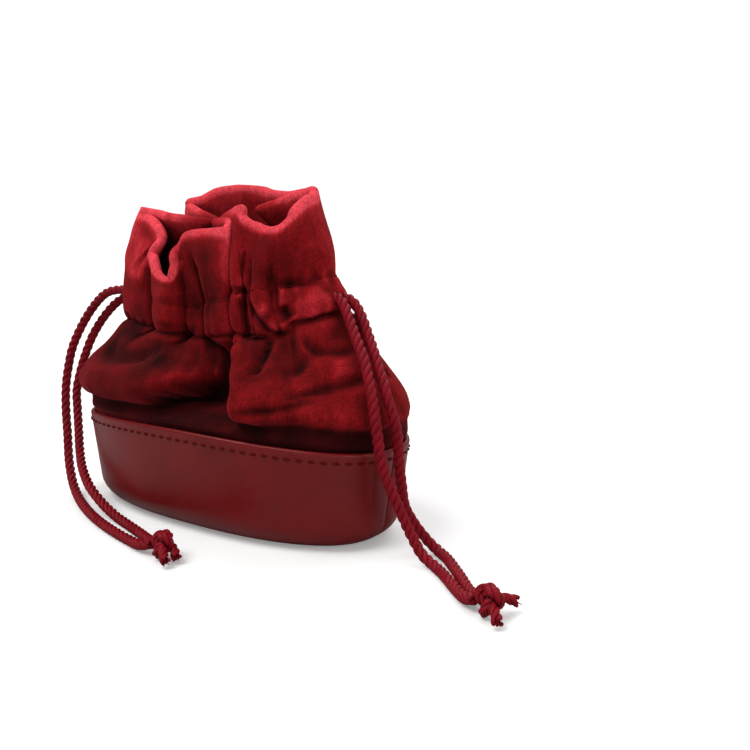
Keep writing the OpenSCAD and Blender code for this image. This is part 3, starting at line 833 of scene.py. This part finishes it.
# How much darker the velvet is painted there, as painted shade, and below 0 lighter, as painted light;
# written as creases are
PAINTED_SHADE_AND_LIGHT = [
    (9, 0.30, [(3, 62), (3, 86)]),
    (9, -0.14, [(-36, 74), (-35, 88)]),
    (10, 0.26, [(-54, 46), (-2, 46)]),
    (7, 0.30, [(-46, 54), (-28, 54)]),
    (10, 0.10, [(24, 76), (32, 88)])]
FRONT_CREASES = [
    (2.2, 3.0, [(-46, 52), (-36, 51), (-26, 51.5), (-15, 52.5)]),
    (1.8, 2.8, [(24, 61), (26.5, 57), (29, 51)]),
    (2.2, 1.8, [(30, 63), (35, 57), (41, 51)]),
    (1.6, 1.2, [(26, 40), (36, 41.5), (46, 45)]),
    (1.5, 1.0, [(38, 44), (48, 48), (57, 50)]),
    (1.4, 1.0, [(36, 60), (42, 57), (50, 56)])]
BACK_CREASES = [
    (3.4, 0.9, [(-32, 59), (-37, 52), (-43, 43)]),
    (3.2, 0.8, [(-19, 59), (-22, 52), (-25, 45)]),
    (3.6, 1.0, [(-5, 59), (-6, 50), (-8, 42)]),
    (3.0, 0.7, [(7, 60), (9, 54), (11, 47)]),
    (3.6, 1.0, [(18, 61), (23, 53), (28, 44)]),
    (3.2, 0.8, [(31, 63), (38, 55), (46, 46)])]


def behind_cords(outer, inner):
    """The inner wall, carried in behind the cords where it is the facing that closes the channel."""
    ring = even_out(outer, CHANNEL_EVEN)
    facing = ring - plan_normals(ring) * FACING_DEPTH
    row = np.arange(outer.shape[1])
    share = (smooth(row / 6) * smooth((CHANNEL_ROWS - row) / 6))[None, :, None]
    return inner * (1 - share) + facing * share


def body_shell(outer):
    """Closed sheet from its outer face: points (columns, around, 3) round its cut edge, outer face first."""
    inner = blur(outer - surface_normals(outer) * CLOTH_T, 3)
    return np.concatenate([outer, inner[:, ::-1]], axis=1)


def neck_shell(outer):
    """The same for the neck, whose header is doubled over and whose top edge rolls over in a half circle."""
    normal = surface_normals(outer)
    up = np.linspace(0, 1, outer.shape[1])[None, :, None]
    thick = CLOTH_T + (HEADER_T - CLOTH_T) * smooth((up - 0.6) / 0.3)
    inner = behind_cords(outer, blur(outer - normal * thick, 3))
    top_out, top_in = outer[:, -1], inner[:, -1]
    middle, arm = (top_out + top_in) / 2, (top_out - top_in) / 2
    ahead = np.roll(middle, -1, axis=0) - np.roll(middle, 1, axis=0)
    rise = np.cross(normal[:, -1], ahead)
    rise = unit(rise * np.sign(rise[:, 2].mean()))
    reach = np.linalg.norm(arm, axis=-1, keepdims=True)
    angles = np.radians([30, 60, 90, 120, 150])
    lip = [middle + arm * math.cos(a) + rise * reach * math.sin(a) for a in angles]
    return np.concatenate([outer, np.stack(lip, axis=1), inner[:, ::-1]], axis=1)


def painted_light_levels(grid, rolled):
    """Painted light level of each point of a cloth, 0 to 1: painted highlight where it stands out from the
    cloth round it, higher up and on its rolled top edge, painted shade in hollows, low on the body and in
    listed patches.
    """
    out = surface_normals(grid)
    fine = np.sum((grid - blur(grid, 12)) * out, axis=-1)
    flat = even_out(grid, 34)
    wide = np.sum((grid - flat) * surface_normals(flat), axis=-1)
    shallow = 1 - 0.85 * smooth((-wide - 2) / 6)
    # painted highlight where the cloth stands out and painted shade where it sinks in, finely and widely
    value = 0.2 + 0.26 * shallow * np.clip(fine / 0.45, -1.5, 1.5 if rolled else 0.8)
    value = value + 0.10 * np.clip(wide / 4.0, -3.0, 1.0)
    # painted light, lighter higher up
    value = value + 0.2 * smooth((grid[..., 2] - 55) / 35)
    up = np.linspace(0, 1, grid.shape[1])[None]
    # painted highlight on the rolled top edge; on the body, painted shade low down over the leather
    if rolled:
        value = value + 0.42 * smooth((up - 0.86) / 0.14)
    else:
        value = value - 0.35 * smooth((0.5 - up) / 0.15)
    # painted shade, and painted light, in the listed patches
    value = value - creases(grid, smooth((2 - grid[..., 1]) / 5), PAINTED_SHADE_AND_LIGHT)
    return np.clip(value, 0, 1)


def cloth_piece(name, ring, painted_light, first, last):
    """Mesh of the columns from first to last, closed at both side edges."""
    index = np.arange(first, last + 1) % len(ring)
    part = ring[index]
    rows, cols = part.shape[:2]
    faces = grid_faces(rows, cols)
    # strips across the cloth's thickness close the two side edges
    half = cols // 2
    for base in (0, (rows - 1) * cols):
        for k in range(half - 1):
            faces.append((base + k, base + k + 1, base + cols - 2 - k, base + cols - 1 - k))
        if cols % 2:
            # the middle of the rolled edge
            faces.append((base + half - 1, base + half, base + half + 1))
    obj = add_mesh(name, part.reshape(-1, 3), faces, VELVET)
    fix_normals(obj)
    obj.data.set_sharp_from_angle(angle=math.radians(75))
    # the painted light level of the face inside the pouch and the rolled edge carries on from the nearest
    # point of the outer face, then fades to a middle level and, deeper down inside, to painted shade
    level = np.zeros(part.shape[:2])
    level[:, :painted_light.shape[1]] = painted_light[index]
    edge = painted_light[index, -1:]
    rest = np.arange(cols - painted_light.shape[1])[None]
    fade = np.exp(-np.maximum(0, rest - 5) / 3.0)
    level[:, painted_light.shape[1]:] = edge * fade + (0.48 - 0.4 * smooth((rest - 14) / 16)) * (1 - fade)
    layer = obj.data.attributes.new("painted_light", "FLOAT", "POINT")
    layer.data.foreach_set("value", level.astype(np.float32).ravel())
    return obj


def seam_line(line, out, lift, margin):
    """Stitches along a line on the cloth, lifted off it: their places, and the ways along and out."""
    line = line + out * lift
    gone = distance_along(line)
    at = np.arange(margin, gone[-1] - margin, CLOTH_PITCH)
    place, outs = points_at(line, gone, at), points_at(out, gone, at)
    ahead, behind = points_at(line, gone, at + 0.8) - place, place - points_at(line, gone, at - 0.8)
    # a stitch across a tight fold sinks out of sight in it, so it is left out
    straight = np.sum(ahead * behind, axis=1) / np.linalg.norm(ahead, axis=1) / np.linalg.norm(behind, axis=1)
    firm = np.linalg.norm(outs, axis=1) * straight > 0.85
    return place[firm], ahead[firm] + behind[firm], outs[firm]


def cloth_stitches(name, places, node):
    """Stitches in the velvet that stand for a CAD node."""
    beads = stitch_beads(name, *places, *CLOTH_STITCH, CHANNEL_THREAD)
    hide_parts(node)
    return beads


def channel_run(casing, lines, share, first, last):
    """Line of a cord inside the channel, at that share of its height, along the evened-out outline."""
    height = lines[:, :1] * (1 - share) + lines[:, 1:] * share
    ring = even_out(np.concatenate([casing, height], axis=1), CHANNEL_EVEN)
    ring = ring - plan_normals(ring) * RUN_DEPTH
    index = np.arange(first, last + 1) % len(ring)
    return even_line(ring[index], 1.5)[0]


def meet(body, neck):
    """Makes the body's last row and the neck's first one the same."""
    body[:, -1] = neck[:, 0] = (body[:, -1] + neck[:, 0]) / 2


def stuffed(body):
    """The body creased and softly uneven as stuffed cloth is, but not where it is sewn to the leather."""
    along = np.linspace(0, 1, body.shape[1])[None]
    loose = smooth((along - 0.3) / 0.25) * (1 - 0.5 * smooth((along - 0.9) / 0.1))
    out = surface_normals(body)
    front = (out[..., 1] < 0.35).astype(float) * (body[..., 1] < 4)
    dent = creases(body, front, FRONT_CREASES) + creases(body, 1 - front, BACK_CREASES)
    calm = 1 - 0.75 * front * smooth((16 - body[..., 0]) / 10) - 0.6 * (1 - front)
    soft = calm * (1.1 * ripple(body * [1, 1, 1.3], 15, 3.7) + 0.5 * ripple(body, 6, 11.2))
    pressed = surface_normals(even_out(body, 8)) * dent[..., None]
    return body + (out * soft[..., None] - pressed) * loose[..., None]


def puckered(neck, casing, lines):
    """The neck with its creases and with upright puckers along both stitch lines of the channel."""
    level = np.clip((neck[..., 2] - lines[:, :1]) / (lines[:, 1:] - lines[:, :1]), 0, 3)
    hidden = full_pile(casing)[:, None]
    near_seam = np.exp(-((level - 1) / 0.35) ** 2) * (1 - hidden) + np.exp(-(level / 0.35) ** 2)
    pucker = ripple(neck * [1, 1, 0.25], 2.6, 5.1)
    soft = 0.4 * ripple(neck * [1, 1, 0.6], 8, 21.3) * smooth(level / 0.4)
    behind = neck[..., 1] - np.interp(neck[..., 0], *FRONT_LINE)
    dent = creases(neck, smooth((5 - behind) / 3.5), NECK_CREASES)
    pressed = surface_normals(even_out(neck, 8)) * dent[..., None]
    neck = neck + surface_normals(neck) * (0.42 * pucker * near_seam + soft)[..., None] - pressed
    # at the front left the pile closes over the upper stitch line
    over = (hidden * np.exp(-((level - 1) / 0.6) ** 2))[..., None]
    return neck * (1 - over) + blur(neck, 10) * over


def make_channel(half, first, last, neck, casing, lines):
    """Stitches of one half's channel, and the two cords inside it."""
    for which, row in SEAM_ROWS.items():
        index = np.arange(first, last + 1) % len(neck)
        places = seam_line(neck[index, row], surface_normals(neck)[index, row], -0.04, 2.0)
        if which == "upper":
            # none where the pile closes over them
            shown = (places[0][:, 0] > -6) | (places[0][:, 1] > -3)
            places = [values[shown] for values in places]
        beads = cloth_stitches(f"channel_stitches_{which}_{half}", places, f"channel_{which}_stitches_{half}")
        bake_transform(beads)
    for side, share in RUN_SHARE.items():
        points, faces, uvs = tube(channel_run(casing, lines, share, first + 6, last - 6), CORD_D / 2, 12)
        run = add_mesh(f"{side}_cord_in_channel_{half}", points, faces, CORD, uvs=uvs)
        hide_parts(f"{side}_cord_run_{half}")
        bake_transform(run)


def make_cloth(part, half, piece):
    """Hides the CAD nodes for a half's body or neck cloth and bakes the cloth's transform; how far it would
    follow its neck body is worked out but not used.
    """
    slope, level = np.array([0, (1 if half == "back" else -1) * (1 / BLEND_Y), 0]), 0.0
    if part == "body":
        slope[2], level = 1 / BLEND_Z, -BLEND_HELD - BLEND_FLOOR / BLEND_Z
        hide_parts(f"velvet_panel_{half}")
    else:
        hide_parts(f"channel_{half}", f"facing_{half}", f"header_{half}")
    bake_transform(piece)


def make_velvet_pieces():
    turns, bulge, casing, lines, rim, belly = fold_columns()
    body = blur(body_grid(turns, bulge, casing, lines), 3)
    neck = blur(neck_grid(casing, lines, rim, belly), 2)
    meet(body, neck)
    body, neck = stuffed(body), puckered(neck, casing, lines)
    meet(body, neck)
    left = LEFT_END * STEP
    for side, column in (("right", 0), ("left", left)):
        # up the seam where the front and back of the body meet
        places = seam_line(body[column, 30:-6], surface_normals(body)[column, 30:-6], 0, 1.5)
        beads = cloth_stitches(f"side_seam_{side}", places, f"side_seam_thread_{side}")
        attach(beads, "base")
    spans = {"back": (0, left), "front": (left, len(turns))}
    for half, (first, last) in spans.items():
        make_channel(half, first, last, neck, casing, lines)
    body_painted_light, neck_painted_light = painted_light_levels(body, False), painted_light_levels(neck, True)
    meet(body_painted_light, neck_painted_light)
    sheets = {"body": (body_shell(body), body_painted_light), "neck": (neck_shell(neck), neck_painted_light)}
    for half, (first, last) in spans.items():
        for part, (ring, painted_light) in sheets.items():
            make_cloth(part, half, cloth_piece(f"velvet_{part}_{half}", ring, painted_light, first, last))


make_velvet_pieces()


# ---- floor and light

def make_studio():
    bpy.ops.mesh.primitive_plane_add(size=6, location=(0, 0, 0))
    floor = bpy.context.object
    floor.name = "floor"
    material, nodes, links, shader = new_material("floor")
    # the camera sees a white floor, and the pouch is lit by a greyer one
    seen = nodes.new("ShaderNodeLightPath").outputs["Is Camera Ray"]
    tone = nodes.new("ShaderNodeMix")
    tone.data_type = "RGBA"
    set_inputs(tone, {"A": (0.42, 0.42, 0.42, 1), "B": (0.95, 0.95, 0.95, 1)})
    links.new(seen, tone.inputs["Factor"])
    links.new(tone.outputs["Result"], shader.inputs["Base Color"])
    set_inputs(shader, {"Roughness": 0.8, "Emission Color": (1, 1, 1, 1)})
    lift = nodes.new("ShaderNodeMath")
    lift.operation = "MULTIPLY"
    lift.inputs[1].default_value = 0.22
    links.new(seen, lift.inputs[0])
    links.new(lift.outputs[0], shader.inputs["Emission Strength"])
    floor.data.materials.append(material)
    world = bpy.data.worlds.new("world")
    world.use_nodes = True
    nodes, links = world.node_tree.nodes, world.node_tree.links
    light = nodes["Background"]
    set_inputs(light, {"Color": (1, 1, 1, 1), "Strength": 0.22})
    seen = nodes.new("ShaderNodeBackground")
    set_inputs(seen, {"Color": (1, 1, 1, 1), "Strength": 1.05})
    mix = nodes.new("ShaderNodeMixShader")
    links.new(nodes.new("ShaderNodeLightPath").outputs["Is Camera Ray"], mix.inputs["Fac"])
    links.new(light.outputs["Background"], mix.inputs[1])
    links.new(seen.outputs["Background"], mix.inputs[2])
    links.new(mix.outputs["Shader"], nodes["World Output"].inputs["Surface"])
    bpy.context.scene.world = world
    for name, (place, power, spread) in LIGHTS.items():
        data = bpy.data.lights.new(name, "SUN")
        data.energy, data.angle = power, math.radians(spread)
        lamp = add_object(name, data)
        lamp.matrix_world = (-Vector(place)).to_track_quat("-Z", "Y").to_matrix().to_4x4()
    bpy.context.scene.view_settings.view_transform = "Standard"


make_studio()
